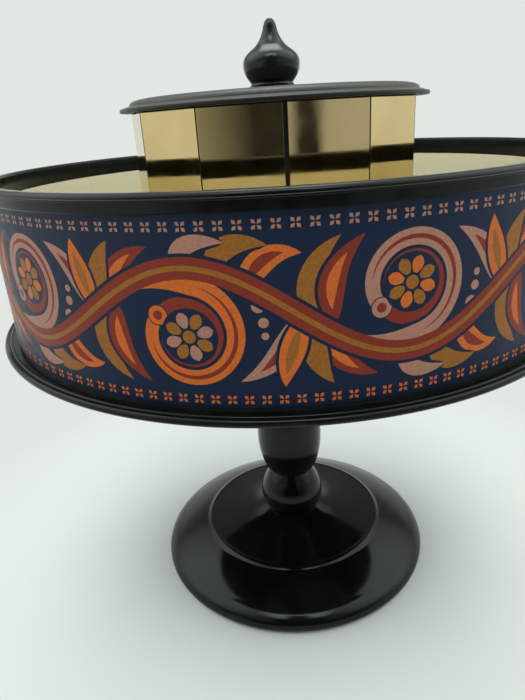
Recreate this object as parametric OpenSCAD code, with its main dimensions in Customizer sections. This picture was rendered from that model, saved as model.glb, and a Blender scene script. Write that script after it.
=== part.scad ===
// Table praxinoscope: a drum on a turned stand, with a prism of mirrors at its centre.
// The axis of the drum is Z, and the underside of the felt is at z = 0. All sizes are in millimetres.

/* [Foot] */
// Diameter of the foot at its widest edge
foot_d = 128; // [110:1:160]
// Width of the rounding under the foot's edge
foot_under_w = 3; // [1:0.1:4]
// Height of the foot's widest edge above its underside
foot_edge_h = 2.5; // [1:0.1:4]
// Width of the foot's rounded edge
foot_edge_w = 5.4; // [3:0.1:9]
// Height above the underside at which the rounded edge turns into the slope
foot_shoulder_h = 8.5; // [6:0.1:11]
// Width of the foot's slope, from its edge to the ridge ring
foot_slope_w = 22.3; // [14:0.1:28]
// Height of the ridge ring above the underside
foot_ridge_h = 16.1; // [13.5:0.1:18]
// Width of each side of the ridge ring
foot_ridge_w = 1.6; // [0.8:0.1:2.4]
// Drop of the ridge ring's outer side
foot_ridge_drop = 1.1; // [0.6:0.1:1.6]
// Drop of the ridge ring's inner side, where the cone under the collar bead begins
foot_cone_drop = 0.05; // [0.05:0.05:0.4]
// Height of the foot above its underside, up to the collar bead
foot_h = 22.2; // [19.5:0.1:28]
// Diameter of the neck under the collar bead
foot_neck_d = 25.2; // [21:0.1:28]
// How far the felt pad lies in from the foot's edge
felt_inset = 8; // [5:0.5:20]
// Thickness of the felt pad
felt_t = 2; // [1.2:0.1:3]
// How far the felt stands out below the foot
felt_proud = 0.8; // [0.4:0.1:1]

/* [Column] */
// Diameter of the collar bead
collar_d = 30.2; // [28.5:0.1:40]
// Height of the collar bead
collar_h = 19.2; // [13:0.1:24]
// Height of the collar bead's widest place above its lower end
collar_belly_h = 5.8; // [4:0.1:9]
// Diameter of the collar bead's upper end
collar_top_d = 19.6; // [16:0.1:24]
// Diameter of the column's lower end
column_foot_d = 19.6; // [16:0.1:24]
// Diameter of the column's belly
column_d = 30.4; // [26:0.1:40]
// Height of the belly above the column's lower end
column_belly_h = 18.8; // [12:0.1:28]
// Diameter of the column's waist, under its head
column_waist_d = 19; // [16:0.1:22]
// Height of the column
column_h = 75.8; // [60:0.1:120]
// Diameter of the column's head
column_head_d = 28; // [25:0.1:36]
// Height of the column's head
column_head_h = 8; // [5:0.1:12]
// Height of the cove between waist and head
column_cove_h = 3; // [1.5:0.1:6]
// Width of the cove between waist and head
column_cove_w = 1.4; // [0.8:0.1:2]
// Width of the rounding on top of the head
column_lip_w = 1.6; // [0.8:0.1:2.5]

/* [Spindle and bearing] */
// Diameter of the spindle
spindle_d = 8; // [6:0.5:10]
// Diameter of the spindle's shoulder, which sits on the column
shoulder_d = 20; // [16:0.5:24]
// Thickness of the spindle's shoulder
shoulder_t = 2; // [1.5:0.1:4]
// Thickness of the thrust washer
thrust_t = 1; // [0.5:0.1:2]
// Wall of the bushes
bush_wall = 2; // [1:0.1:3]
// Length of each bush
bush_l = 12; // [8:0.5:16]
// Wall of the hub's sleeve round the bushes
hub_wall = 4; // [3:0.1:6]
// Height of the hub's boss under its flange
hub_boss_h = 5; // [3.5:0.1:10]
// Wall of the hub's boss round the bush
hub_boss_wall = 7; // [4:0.1:8]
// Diameter of the hub's flange
hub_flange_d = 56; // [52:0.5:64]
// Thickness of the hub's flange
hub_flange_t = 3; // [2:0.1:5]
// Height of the hub's sleeve above the drum's floor
hub_sleeve_h = 33; // [24:0.5:45]
// Radius of the circle that the hub's screws lie on
hub_screw_ring = 21; // [20:0.1:23]

/* [Drum] */
// Outside diameter of the rim ring
rim_d = 220; // [180:1:260]
// Depth of the drum, from its floor to the top of the rim ring
drum_depth = 56.8; // [50:0.1:70]
// Thickness of the drum's wall
wall_t = 0.8; // [0.5:0.1:1.2]
// Thickness of the printed wrap
wrap_t = 0.3; // [0.2:0.05:0.5]
// Height of the wrap's lower edge above the drum's floor
wrap_lift = 1.3; // [0.5:0.1:4]
// How far the rim ring stands out past the wrap
rim_overhang = 1.6; // [1.2:0.1:3]
// Depth of the rim ring's outer skirt
rim_skirt_out = 5; // [4:0.1:9]
// Depth of the rim ring's inner skirt
rim_skirt_in = 7; // [4:0.1:9]
// Thickness of the rim ring's inner skirt
rim_skirt_t = 1.1; // [0.8:0.1:2]
// Thickness of the rim ring above the wall
rim_cap_t = 2; // [1.8:0.1:3]
// Outer rounding of the rim ring's lip
rim_lip_out = 1.5; // [0.8:0.1:1.5]
// Inner rounding of the rim ring's lip
rim_lip_in = 1; // [0.5:0.1:1.5]
// Drop of the rim ring's bead below its top
rim_bead_drop = 1.8; // [1.7:0.1:3]
// Width of the rim ring's bead
rim_bead_w = 0.8; // [0.5:0.1:1.2]
// Rounding of the outer skirt's lower edge
rim_edge = 0.3; // [0.1:0.05:0.4]
// Thickness of the tray
tray_t = 2.4; // [1.8:0.1:5]
// How far the tray's flange stands out past the wrap
flange_out = 5; // [4.6:0.1:10]
// Rounding of the flange's edge
flange_round = 1.1; // [0.5:0.1:1.5]
// Distance of the flange's bead from the wrap
flange_bead_in = 2; // [1:0.1:2.4]
// Width of the flange's bead
flange_bead_w = 1.2; // [0.6:0.1:1.5]
// Height of the beads on the flange and the rim ring
bead_h = 0.25; // [0.15:0.05:0.4]
// Depth of the line between the flange's bead and its edge
flange_line = 0.5; // [0.2:0.1:0.9]
// Depth of the groove in the tray that the wall stands in
wall_seat = 0.8; // [0.4:0.1:1.2]

/* [Picture strip] */
// Height of the picture strip
strip_h = 49.4; // [30:0.1:60]
// Thickness of the picture strip
strip_t = 0.5; // [0.3:0.05:1]

/* [Mirror prism] */
// Number of mirrors
mirror_count = 12; // [10:1:16]
// Thickness of a mirror
mirror_t = 1; // [0.8:0.1:2]
// How far the mirrors stand out past halfway between the axis and the pictures
mirror_out = 0.5; // [0:0.1:1.5]
// Width of the open joint where the row of mirrors closes, beyond the other joints
seam_gap = 0.9; // [0:0.1:1.5]
// Angle of the seam about the axis, from the front towards the right
seam_angle = 3.57; // [-15:0.01:15]
// Height of the prism above the drum's floor
prism_h = 75.7; // [66:0.1:100]
// Wall of the prism's core
core_t = 2.5; // [2:0.1:4]
// Thickness of the core's floor
core_floor_t = 3; // [2:0.1:5]

/* [Lid and finial] */
// How far the lid stands out past the corners of the mirrors
lid_overhang = 3.4; // [2:0.1:8]
// Thickness of the lid's lip at its edge
lid_lip_t = 1.3; // [0.8:0.1:2.5]
// Width of the rounding on the lid's lip
lid_lip_w = 0.4; // [0.2:0.1:1]
// Rise of the lip's upper side from its edge to the crown
lid_lip_rise = 0.7; // [0.3:0.1:2]
// How far the crown is set in from the lip
lid_set_in = 3.6; // [2.8:0.1:6]
// Width of the small step round the crown
lid_step_w = 0.7; // [0.3:0.1:1.2]
// Height of the small step round the crown
lid_step_h = 0.2; // [0.1:0.05:0.5]
// Width of the crown's rounded shoulder
lid_shoulder_w = 4.2; // [2:0.1:8]
// Height of the crown's shoulder above the lip
lid_crown_h = 2.3; // [1.5:0.1:5]
// Rise of the lid's domed top from the crown's shoulder to the finial
lid_dome = 1; // [0.4:0.1:4]
// Depth of the plug that locates the lid in the core
lid_plug_h = 4; // [3:0.1:8]
// Diameter of the finial's foot
finial_foot_d = 19.6; // [16:0.1:24]
// Diameter of the finial's neck
finial_neck_d = 16.1; // [13:0.1:18]
// Height of the finial's neck above its foot
finial_neck_h = 2.4; // [1.5:0.1:4]
// Diameter of the finial's bulb
finial_d = 21.5; // [18:0.1:28]
// Height of the finial's bulb above its foot
finial_bulb_h = 8.9; // [7:0.1:11]
// Diameter of the finial's throat, where the bulb runs into the tip
finial_throat_d = 10; // [8:0.1:14]
// Distance of the throat below the finial's top
finial_throat_drop = 8.2; // [6:0.1:10]
// Diameter of the finial's tip
finial_tip_d = 4.9; // [3:0.1:6]
// Height of the finial's rounded tip
finial_tip_h = 2.7; // [1.5:0.1:3]
// Height of the finial
finial_h = 24.1; // [22:0.1:32]

/* [Fits] */
// Clearance round the spindle in the bushes
running_fit = 0.05; // [0.02:0.01:0.1]
// Clearance of a pressed or glued fit
press_gap = 0.02; // [0.01:0.01:0.05]
// Clearance of pieces that slip over each other
slip = 0.1; // [0.05:0.01:0.2]
// End play of the hub on the spindle
end_play = 0.2; // [0.1:0.05:0.4]
// Clearance round a piece that lifts out by hand
hand_fit = 0.4; // [0.3:0.05:0.8]

/* [Hidden] */
mirror_names = [for (i = [1 : mirror_count]) str("mirror_", i < 10 ? "0" : "", i)];
stand_names = ["felt_pad", "base_foot", "collar_bead", "column", "spindle", "tie_washer", "tie_nut",
    "thrust_washer", "retaining_washer", "retaining_screw"];
drum_names = ["hub", "lower_bush", "upper_bush", "hub_screws", "drum_tray", "drum_wall", "printed_wrap",
    "rim_ring", "prism_core", "core_floor"];
lift_names = ["picture_strip", "lid", "finial", "finial_washer", "finial_screw"];
$fn = 96;

// Colours as the photograph shows them
gloss_black = [0.05, 0.055, 0.055];
satin_black = [0.16, 0.17, 0.17];
print_navy = [0.09, 0.13, 0.25];
cream = [0.82, 0.78, 0.62];
gold = [0.78, 0.66, 0.4];
steel = [0.65, 0.66, 0.68];
bronze = [0.6, 0.42, 0.2];
felt_green = [0.12, 0.2, 0.14];

// Standard hardware: the M8 nut and washer of the spindle, and M4 screws with pan heads
nut_across = 13;
nut_h = 6.5;
tie_washer_d = 17;
tie_washer_t = 1.6;
thread_tail = 1.5;
screw_d = 4;
screw_head_d = 7.6;
screw_head_h = 2.4;
screw_washer_d = 9;
screw_washer_t = 0.8;
screw_count = 4;
screw_boss_wall = 2.6;
screw_boss_roof = 1.4;
hub_screw_grip = 6;
retaining_washer_d = 15;
retaining_washer_t = 1.2;
retaining_screw_l = 12;
finial_screw_grip = 8;
hole_spare = 1;

// Radii
spindle_r = spindle_d / 2;
bush_r = spindle_r + running_fit + bush_wall;
hub_bore_r = bush_r + press_gap;
hub_sleeve_r = hub_bore_r + hub_wall;
screw_r = screw_d / 2;
wrap_r = rim_d / 2 - rim_overhang;
wall_r = wrap_r - wrap_t - press_gap;
wall_in_r = wall_r - wall_t;
rim_in_r = wall_in_r - slip - rim_skirt_t;
flange_r = wrap_r + flange_out;
strip_r = rim_in_r - hand_fit;
picture_r = strip_r - strip_t;

// The mirrors stand about halfway between the axis and the pictures, so that the images stand on the axis
mirror_r = picture_r / 2 + mirror_out;
face_angle = 360 / mirror_count;
corner_r = mirror_r / cos(face_angle / 2);
core_r = mirror_r - mirror_t - press_gap;
core_in_r = core_r - core_t;
mirror_w = 2 * ((mirror_r - mirror_t) * tan(face_angle / 2) - press_gap);
lid_r = corner_r + lid_overhang;
crown_r = lid_r - lid_set_in;

// Levels, from the table upwards
foot_z = felt_proud;
collar_z = foot_z + foot_h;
column_z = collar_z + collar_h;
column_top_z = column_z + column_h;
thrust_z = column_top_z + shoulder_t;
hub_z = thrust_z + thrust_t + end_play;
flange_z = hub_z + hub_boss_h;
tray_z = flange_z + hub_flange_t;
floor_z = tray_z + tray_t;
hub_top_z = floor_z + hub_sleeve_h;
spindle_top_z = hub_top_z + end_play;
rim_z = floor_z + drum_depth;
wall_z = floor_z - wall_seat;
wall_top_z = rim_z - rim_cap_t - slip;
lid_z = floor_z + prism_h;
mirror_h = prism_h - hand_fit;
lip_z = lid_z + lid_lip_t + lid_lip_rise;
crown_z = lip_z + lid_crown_h;
finial_z = crown_z + lid_dome;
plug_z = lid_z - lid_plug_h;
finial_washer_z = plug_z + screw_head_h;
nut_z = felt_t + thread_tail;
nut_pocket_z = nut_z + nut_h + tie_washer_t;
nut_pocket_r = tie_washer_d / 2 + hand_fit;
felt_r = foot_d / 2 - felt_inset;

// A cubic curve from p to q, without its first point. Its handles u and v are shares of the way
// from p to q, across and up, so that the curve keeps its character when its ends move.
function bow(p, q, u, v, n = 8) = [for (i = [1 : n]) let (t = i / n, s = 1 - t, way = q - p)
    [for (k = [0, 1]) p[k] + way[k] * (3 * s * s * t * u[k] + 3 * s * t * t * v[k] + t * t * t)]];

// A round stretch about the centre c, from angle a0 to angle a1
function arc(c, r, a0, a1, n = 6) = [for (i = [0 : n]) let (a = a0 + (a1 - a0) * i / n)
    c + r * [cos(a), sin(a)]];

module ring(outer, inner, h) {
    difference() {
        cylinder(r = outer, h = h);
        translate([0, 0, -hole_spare]) cylinder(r = inner, h = h + 2 * hole_spare);
    }
}

module screw(length) {
    union() {
        cylinder(r = screw_r, h = length);
        translate([0, 0, -screw_head_h]) cylinder(r = screw_head_d / 2, h = screw_head_h);
    }
}

module at_hub_screws() {
    for (i = [0 : screw_count - 1])
        rotate([0, 0, 45 + i * 360 / screw_count]) translate([hub_screw_ring, 0, 0]) children();
}

module prism_outline(across) {
    polygon([for (i = [0 : mirror_count - 1]) let (a = seam_angle - 90 + i * face_angle)
        across / cos(face_angle / 2) * [cos(a), sin(a)]]);
}

// The stand
module felt_pad() {
    color(felt_green) ring(felt_r, nut_pocket_r, felt_t);
}

module base_foot() {
    foot_r = foot_d / 2;
    ridge_r = foot_r - foot_slope_w;
    neck_r = foot_neck_d / 2;
    under = [foot_r - foot_under_w, foot_z];
    edge = [foot_r, foot_z + foot_edge_h];
    shoulder = [foot_r - foot_edge_w, foot_z + foot_shoulder_h];
    ridge = [ridge_r, foot_z + foot_ridge_h];
    ridge_side = ridge + [foot_ridge_w, -foot_ridge_drop];
    cone_foot = ridge + [-foot_ridge_w, -foot_cone_drop];
    neck = [neck_r, collar_z];
    cone = [cone_foot[0] + 0.68 * (neck[0] - cone_foot[0]), cone_foot[1] + 0.44 * (neck[1] - cone_foot[1])];
    bore_r = spindle_r + slip;
    recess_r = felt_r + slip;
    color(gloss_black) rotate_extrude() polygon(concat(
        [[bore_r, nut_pocket_z], [nut_pocket_r, nut_pocket_z], [nut_pocket_r, felt_t], [recess_r, felt_t],
            [recess_r, foot_z], under],
        bow(under, edge, [0.66, 0], [1, 0.4], 5),
        bow(edge, shoulder, [0, 0.45], [0.5, 0.78]),
        bow(shoulder, ridge_side, [0.28, 0.38], [0.64, 0.74]),
        bow(ridge_side, ridge, [0.32, 0.4], [0.78, 0.98], 4),
        bow(ridge, cone_foot, [0.3, 0], [0.7, 0.5], 4),
        bow(cone_foot, cone, [0.33, 0.2], [0.68, 0.42]),
        bow(cone, neck, [0.33, 0.2], [0.7, 0.66]),
        [[bore_r, collar_z]]));
}

module collar_bead() {
    foot = [foot_neck_d / 2, collar_z];
    belly = [collar_d / 2, collar_z + collar_belly_h];
    top = [collar_top_d / 2, column_z];
    bore_r = spindle_r + slip;
    color(gloss_black) rotate_extrude() polygon(concat(
        [[bore_r, collar_z], foot],
        bow(foot, belly, [0.7, 0.1], [1, 0.5]),
        bow(belly, top, [0, 0.42], [0.72, 0.84]),
        [[bore_r, column_z]]));
}

module column() {
    foot = [column_foot_d / 2, column_z];
    belly = [column_d / 2, column_z + column_belly_h];
    cove_z = column_top_z - column_head_h;
    waist = [column_waist_d / 2, cove_z - column_cove_h];
    cove = [waist[0] + column_cove_w, cove_z];
    head = [column_head_d / 2, column_top_z - column_head_h / 2];
    lip = [head[0] - column_lip_w, column_top_z];
    bore_r = spindle_r + slip;
    color(gloss_black) rotate_extrude() polygon(concat(
        [[bore_r, column_z], foot],
        bow(foot, belly, [0.45, 0.05], [1, 0.5]),
        bow(belly, waist, [0, 0.4], [1, 0.55]),
        bow(waist, cove, [0, 0.53], [0.43, 0.73], 4),
        bow(cove, head, [1, 0.1], [1, 0.35], 6),
        bow(head, lip, [0, 0.6], [0.25, 1], 6),
        [[bore_r, column_top_z]]));
}

module spindle() {
    color(steel) difference() {
        union() {
            translate([0, 0, felt_t]) cylinder(r = spindle_r, h = spindle_top_z - felt_t);
            translate([0, 0, column_top_z]) cylinder(r = shoulder_d / 2, h = shoulder_t);
        }
        translate([0, 0, spindle_top_z - retaining_screw_l])
            cylinder(r = screw_r + press_gap, h = retaining_screw_l + hole_spare);
    }
}

module tie_washer() {
    color(steel) translate([0, 0, nut_z + nut_h]) ring(tie_washer_d / 2, spindle_r + slip, tie_washer_t);
}

module tie_nut() {
    color(steel) translate([0, 0, nut_z]) difference() {
        cylinder(r = nut_across / 2 / cos(30), h = nut_h, $fn = 6);
        translate([0, 0, -hole_spare]) cylinder(r = spindle_r + press_gap, h = nut_h + 2 * hole_spare);
    }
}

module thrust_washer() {
    color(bronze) translate([0, 0, thrust_z]) ring(shoulder_d / 2, spindle_r + slip, thrust_t);
}

module retaining_washer() {
    color(steel) translate([0, 0, spindle_top_z])
        ring(retaining_washer_d / 2, screw_r + slip, retaining_washer_t);
}

module retaining_screw() {
    color(steel) translate([0, 0, spindle_top_z + retaining_washer_t]) mirror([0, 0, 1])
        screw(retaining_screw_l);
}

// The drum
module hub() {
    color(satin_black) difference() {
        union() {
            translate([0, 0, hub_z]) cylinder(r = hub_bore_r + hub_boss_wall, h = hub_boss_h);
            translate([0, 0, flange_z]) cylinder(r = hub_flange_d / 2, h = hub_flange_t);
            translate([0, 0, hub_z]) cylinder(r = hub_sleeve_r, h = hub_top_z - hub_z);
        }
        translate([0, 0, hub_z - hole_spare]) cylinder(r = hub_bore_r, h = bush_l + hole_spare);
        translate([0, 0, hub_top_z - bush_l]) cylinder(r = hub_bore_r, h = bush_l + hole_spare);
        translate([0, 0, hub_z]) cylinder(r = spindle_r + hand_fit, h = hub_top_z - hub_z);
        at_hub_screws() translate([0, 0, flange_z - hole_spare])
            cylinder(r = screw_r + slip, h = hub_flange_t + 2 * hole_spare);
    }
}

module bush(z) {
    color(bronze) translate([0, 0, z]) ring(bush_r, spindle_r + running_fit, bush_l);
}

module lower_bush() {
    bush(hub_z);
}

module upper_bush() {
    bush(hub_top_z - bush_l);
}

module hub_screws() {
    color(steel) at_hub_screws() translate([0, 0, flange_z])
        screw(hub_flange_t + tray_t + core_floor_t + hub_screw_grip);
}

module drum_tray() {
    groove_in = wall_in_r - slip;
    groove_out = wall_r + slip;
    bead_in = [wrap_r + flange_bead_in, floor_z];
    line = [bead_in[0] + flange_bead_w, floor_z - flange_line];
    bead_mid = [(bead_in[0] + line[0]) / 2, floor_z + bead_h];
    round_r = min(flange_round, tray_t / 2);
    round_x = flange_r - round_r;
    color(satin_black) difference() {
        rotate_extrude() polygon(concat(
            [[hub_sleeve_r + slip, tray_z]],
            arc([round_x, tray_z + round_r], round_r, -90, 0, 5),
            arc([round_x, floor_z - round_r], round_r, 0, 70, 5),
            [line],
            bow(line, bead_mid, [0, 0.6], [0.4, 1], 4),
            bow(bead_mid, bead_in, [0.6, 0], [1, 0.4], 4),
            [[groove_out, floor_z], [groove_out, wall_z], [groove_in, wall_z], [groove_in, floor_z],
                [hub_sleeve_r + slip, floor_z]]));
        at_hub_screws() translate([0, 0, tray_z - hole_spare])
            cylinder(r = screw_r + slip, h = tray_t + 2 * hole_spare);
    }
}

module drum_wall() {
    color(satin_black) translate([0, 0, wall_z]) ring(wall_r, wall_in_r, wall_top_z - wall_z);
}

module printed_wrap() {
    wrap_z = floor_z + wrap_lift;
    color(print_navy) translate([0, 0, wrap_z]) ring(wrap_r, wall_r + press_gap, wall_top_z - wrap_z);
}

module rim_ring() {
    outer = rim_d / 2;
    side = outer - bead_h;
    bead_z = rim_z - rim_bead_drop;
    bead_low = [side, bead_z - rim_bead_w / 2];
    bead_mid = [outer, bead_z];
    bead_top = [side, bead_z + rim_bead_w / 2];
    skirt_z = rim_z - rim_skirt_out;
    groove_in = wall_in_r - slip;
    groove_out = wrap_r + slip;
    groove_z = rim_z - rim_cap_t;
    color(satin_black) rotate_extrude() polygon(concat(
        [[rim_in_r, rim_z - rim_skirt_in], [groove_in, rim_z - rim_skirt_in], [groove_in, groove_z],
            [groove_out, groove_z], [groove_out, skirt_z], [side - rim_edge, skirt_z], [side, skirt_z + rim_edge],
            bead_low],
        bow(bead_low, bead_mid, [0.8, 0.2], [1, 0.6], 4),
        bow(bead_mid, bead_top, [0, 0.4], [0.2, 0.8], 4),
        arc([side - rim_lip_out, rim_z - rim_lip_out], rim_lip_out, 10, 90, 6),
        arc([rim_in_r + rim_lip_in, rim_z - rim_lip_in], rim_lip_in, 90, 180, 5)));
}

// The prism
module prism_core() {
    color(gloss_black) translate([0, 0, floor_z]) difference() {
        linear_extrude(height = prism_h) prism_outline(core_r);
        translate([0, 0, -hole_spare]) linear_extrude(height = prism_h + 2 * hole_spare)
            prism_outline(core_in_r);
    }
}

module core_floor() {
    boss_r = screw_r + screw_boss_wall;
    boss_h = core_floor_t + hub_screw_grip + screw_boss_roof;
    color(gloss_black) translate([0, 0, floor_z]) difference() {
        union() {
            linear_extrude(height = core_floor_t) prism_outline(core_in_r - press_gap);
            at_hub_screws() cylinder(r = boss_r, h = boss_h);
        }
        translate([0, 0, -hole_spare])
            cylinder(r = hub_sleeve_r + slip, h = core_floor_t + 2 * hole_spare);
        at_hub_screws() translate([0, 0, -hole_spare])
            cylinder(r = screw_r + press_gap, h = core_floor_t + hub_screw_grip + hole_spare);
    }
}

module mirror_plate(i) {
    trim_start = i == 0 ? seam_gap / 2 : 0;
    trim_end = i == mirror_count - 1 ? seam_gap / 2 : 0;
    width = mirror_w - trim_start - trim_end;
    color(gold) rotate([0, 0, seam_angle - 90 + (i + 0.5) * face_angle])
        translate([mirror_r - mirror_t, trim_start - mirror_w / 2, floor_z]) cube([mirror_t, width, mirror_h]);
}

// The lid
module lid() {
    lip_low = [lid_r - lid_lip_w, lid_z];
    lip_mid = [lid_r, lid_z + lid_lip_t / 2];
    lip_top = [lid_r - lid_lip_w, lid_z + lid_lip_t];
    lip_end = [crown_r + lid_step_w, lip_z];
    crown_foot = [crown_r, lip_z + lid_step_h];
    crown = [crown_r - lid_shoulder_w, crown_z];
    seat = [finial_foot_d / 2, finial_z];
    plug_r = core_in_r - hand_fit;
    washer_pocket_r = screw_washer_d / 2 + slip;
    pocket_z = finial_washer_z + screw_washer_t;
    hole_r = screw_r + slip;
    color(satin_black) rotate_extrude() polygon(concat(
        [[hole_r, pocket_z], [washer_pocket_r, pocket_z], [washer_pocket_r, plug_z], [plug_r, plug_z],
            [plug_r, lid_z], lip_low],
        bow(lip_low, lip_mid, [0.9, 0.05], [1, 0.3], 5),
        bow(lip_mid, lip_top, [0, 0.7], [0.1, 0.95], 5),
        bow(lip_top, lip_end, [0.35, 0.3], [0.7, 0.8], 4),
        [crown_foot],
        bow(crown_foot, crown, [0.05, 0.65], [0.38, 0.87], 6),
        bow(crown, seat, [0.26, 0.5], [0.67, 1], 6),
        [[hole_r, finial_z]]));
}

module finial() {
    foot = [finial_foot_d / 2, finial_z];
    neck = [finial_neck_d / 2, finial_z + finial_neck_h];
    bulb = [finial_d / 2, finial_z + finial_bulb_h];
    top = [0, finial_z + finial_h];
    throat = [finial_throat_d / 2, top[1] - finial_throat_drop];
    tip = [finial_tip_d / 2, top[1] - finial_tip_h];
    bore_r = screw_r + press_gap;
    bore_z = finial_z + finial_screw_grip + hole_spare;
    color(gloss_black) rotate_extrude() polygon(concat(
        [[0, bore_z], [bore_r, bore_z], [bore_r, finial_z], foot],
        bow(foot, neck, [0, 0.36], [1, 0.57], 5),
        bow(neck, bulb, [0.22, 0.19], [1, 0.37]),
        bow(bulb, throat, [0, 0.55], [0.76, 0.7]),
        bow(throat, tip, [0.66, 0.34], [0.93, 0.83]),
        bow(tip, top, [0.26, 0.78], [0.57, 1], 6)));
}

module finial_washer() {
    color(steel) translate([0, 0, finial_washer_z])
        ring(screw_washer_d / 2, screw_r + slip, screw_washer_t);
}

module finial_screw() {
    color(steel) translate([0, 0, finial_washer_z]) screw(finial_z - finial_washer_z + finial_screw_grip);
}

module picture_strip() {
    color(cream) translate([0, 0, floor_z]) ring(strip_r, picture_r, strip_h);
}

felt_pad();
base_foot();
collar_bead();
column();
spindle();
tie_washer();
tie_nut();
thrust_washer();
retaining_washer();
retaining_screw();
hub();
lower_bush();
upper_bush();
hub_screws();
drum_tray();
drum_wall();
printed_wrap();
rim_ring();
prism_core();
core_floor();
for (i = [0 : mirror_count - 1])
    mirror_plate(i);
picture_strip();
lid();
finial();
finial_washer();
finial_screw();
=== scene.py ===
# %% [markdown]
# A table praxinoscope, dressed in Blender.
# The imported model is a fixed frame: the drum's axis is Z, the table is z = 0, and the viewer stands at -Y.
# Every piece below is made where its solid already stands, so nothing has to be fitted afterwards.

# %% Load the frame
import math

import bmesh
import bpy
from mathutils import Matrix, Vector, geometry


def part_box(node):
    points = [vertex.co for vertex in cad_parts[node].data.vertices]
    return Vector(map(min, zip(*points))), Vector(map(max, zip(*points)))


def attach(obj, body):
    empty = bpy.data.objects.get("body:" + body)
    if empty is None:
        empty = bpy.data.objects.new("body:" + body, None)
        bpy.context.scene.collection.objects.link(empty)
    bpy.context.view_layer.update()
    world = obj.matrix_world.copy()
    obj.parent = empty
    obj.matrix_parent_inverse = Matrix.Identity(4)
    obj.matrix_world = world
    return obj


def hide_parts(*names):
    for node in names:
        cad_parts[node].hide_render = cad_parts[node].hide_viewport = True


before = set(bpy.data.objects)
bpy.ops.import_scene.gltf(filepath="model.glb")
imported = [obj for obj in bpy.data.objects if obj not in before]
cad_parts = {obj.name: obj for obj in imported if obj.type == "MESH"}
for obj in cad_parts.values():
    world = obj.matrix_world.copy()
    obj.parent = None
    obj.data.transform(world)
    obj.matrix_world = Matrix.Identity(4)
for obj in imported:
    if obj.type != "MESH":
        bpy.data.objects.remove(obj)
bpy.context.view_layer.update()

# %% [markdown]
# Sizes. The outlines are written in millimetres, as a turner would mark them out, and become metres only
# when a mesh is made. Levels and radii are read from the solids, so a piece can't drift away from what
# carries it.

# %% Levels and radii from the solids
MM = 0.001
WELD = 0.001 * MM


def reach(node):
    """Outer radius of a turned node, in millimetres."""
    return round(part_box(node)[1].x / MM, 2)


def low_of(node):
    """Level of a node's underside, in millimetres."""
    return round(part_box(node)[0].z / MM, 2)


def top_of(node):
    """Level of a node's top, in millimetres."""
    return round(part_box(node)[1].z / MM, 2)


print("drum:", reach("drum_tray"), "mm to the flange; whole height", top_of("finial"), "mm")

# %% [markdown]
# Most of the object came off a lathe, so most pieces start as an outline of a few points and curves. A
# curve could be a Bezier object, but plain points can be joined to straight stretches and spun at once.
# The handles are shares of the way from one point to the next, so a curve keeps its character if its ends
# move.

# %% Curves for turned outlines
def bow(p, q, u, v, n=14):
    """A cubic curve from p to q, without its first point; u and v are its handles, as shares of the way."""
    points = []
    for i in range(1, n + 1):
        t = i / n
        first, second, last = 3 * (1 - t) ** 2 * t, 3 * (1 - t) * t * t, t ** 3
        points.append(tuple(p[k] + (q[k] - p[k]) * (first * u[k] + second * v[k] + last) for k in (0, 1)))
    return points


def arc(centre, radius, start, stop, n=8):
    """A round stretch about a centre, between two angles in degrees."""
    angles = [math.radians(start + (stop - start) * i / n) for i in range(n + 1)]
    return [(centre[0] + radius * math.cos(a), centre[1] + radius * math.sin(a)) for a in angles]


# %% [markdown]
# A turned piece is its outline, spun once round the axis. A Screw modifier would do the same, but the
# bmesh spin leaves a finished mesh at the origin. Points on the axis fall together and are merged, which
# closes the poles.

# %% From outline to piece
def turned(outline, closed=True, steps=200):
    """A bmesh of the outline, given as radius and level in millimetres, spun round Z."""
    shape = bmesh.new()
    points = [shape.verts.new((r * MM, 0, z * MM)) for r, z in outline]
    pairs = list(zip(points, points[1:]))
    if closed:
        pairs.append((points[-1], points[0]))
    edges = [shape.edges.new(pair) for pair in pairs]
    bmesh.ops.spin(shape, geom=points + edges, cent=(0, 0, 0), axis=(0, 0, 1), angle=math.tau, steps=steps,
                   use_merge=True)
    bmesh.ops.remove_doubles(shape, verts=shape.verts, dist=WELD)
    bmesh.ops.recalc_face_normals(shape, faces=shape.faces)
    return shape


def piece(name, shape, finishes, body, nodes, crease=32):
    """An object made of a bmesh, which rides on a body and stands for its CAD nodes."""
    mesh = bpy.data.meshes.new(name)
    shape.to_mesh(mesh)
    shape.free()
    for finish in finishes:
        mesh.materials.append(finish)
    mesh.shade_smooth()
    mesh.set_sharp_from_angle(angle=math.radians(crease))
    made = bpy.data.objects.new(name, mesh)
    bpy.context.scene.collection.objects.link(made)
    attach(made, body)
    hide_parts(*nodes)
    print(name, "has", len(mesh.polygons), "faces")
    return made


# %% [markdown]
# Finishes. Each one is a Principled shader with a few noises on the piece's own coordinates: one to vary
# the colour, one for the gloss and one for the relief. Painted images would need unwrapping and would
# blur close up.

# %% A small kit for finishes
def new_finish(name, **sockets):
    """A material whose shader sockets are set by name, with _ for a space."""
    made = bpy.data.materials.new(name)
    made.use_nodes = True
    shader = made.node_tree.nodes["Principled BSDF"]
    for socket, value in sockets.items():
        shader.inputs[socket.replace("_", " ")].default_value = value
    return made


def add(made, kind, **settings):
    """A node in a material, with its input sockets set by name."""
    node = made.node_tree.nodes.new(kind)
    for socket, value in settings.items():
        node.inputs[socket.replace("_", " ")].default_value = value
    return node


def join(made, source, target):
    made.node_tree.links.new(source, target)


def shader_of(made):
    return made.node_tree.nodes["Principled BSDF"]


def grain(made, size, detail=3.0, stretch=(1, 1, 1)):
    """Noise with patches about size millimetres wide; stretch squeezes it along an axis."""
    place = add(made, "ShaderNodeTexCoord")
    spread = add(made, "ShaderNodeMapping", Scale=stretch)
    noise = add(made, "ShaderNodeTexNoise", Scale=1 / (size * MM), Detail=detail)
    join(made, place.outputs["Object"], spread.inputs["Vector"])
    join(made, spread.outputs["Vector"], noise.inputs["Vector"])
    return noise.outputs["Fac"]


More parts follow.
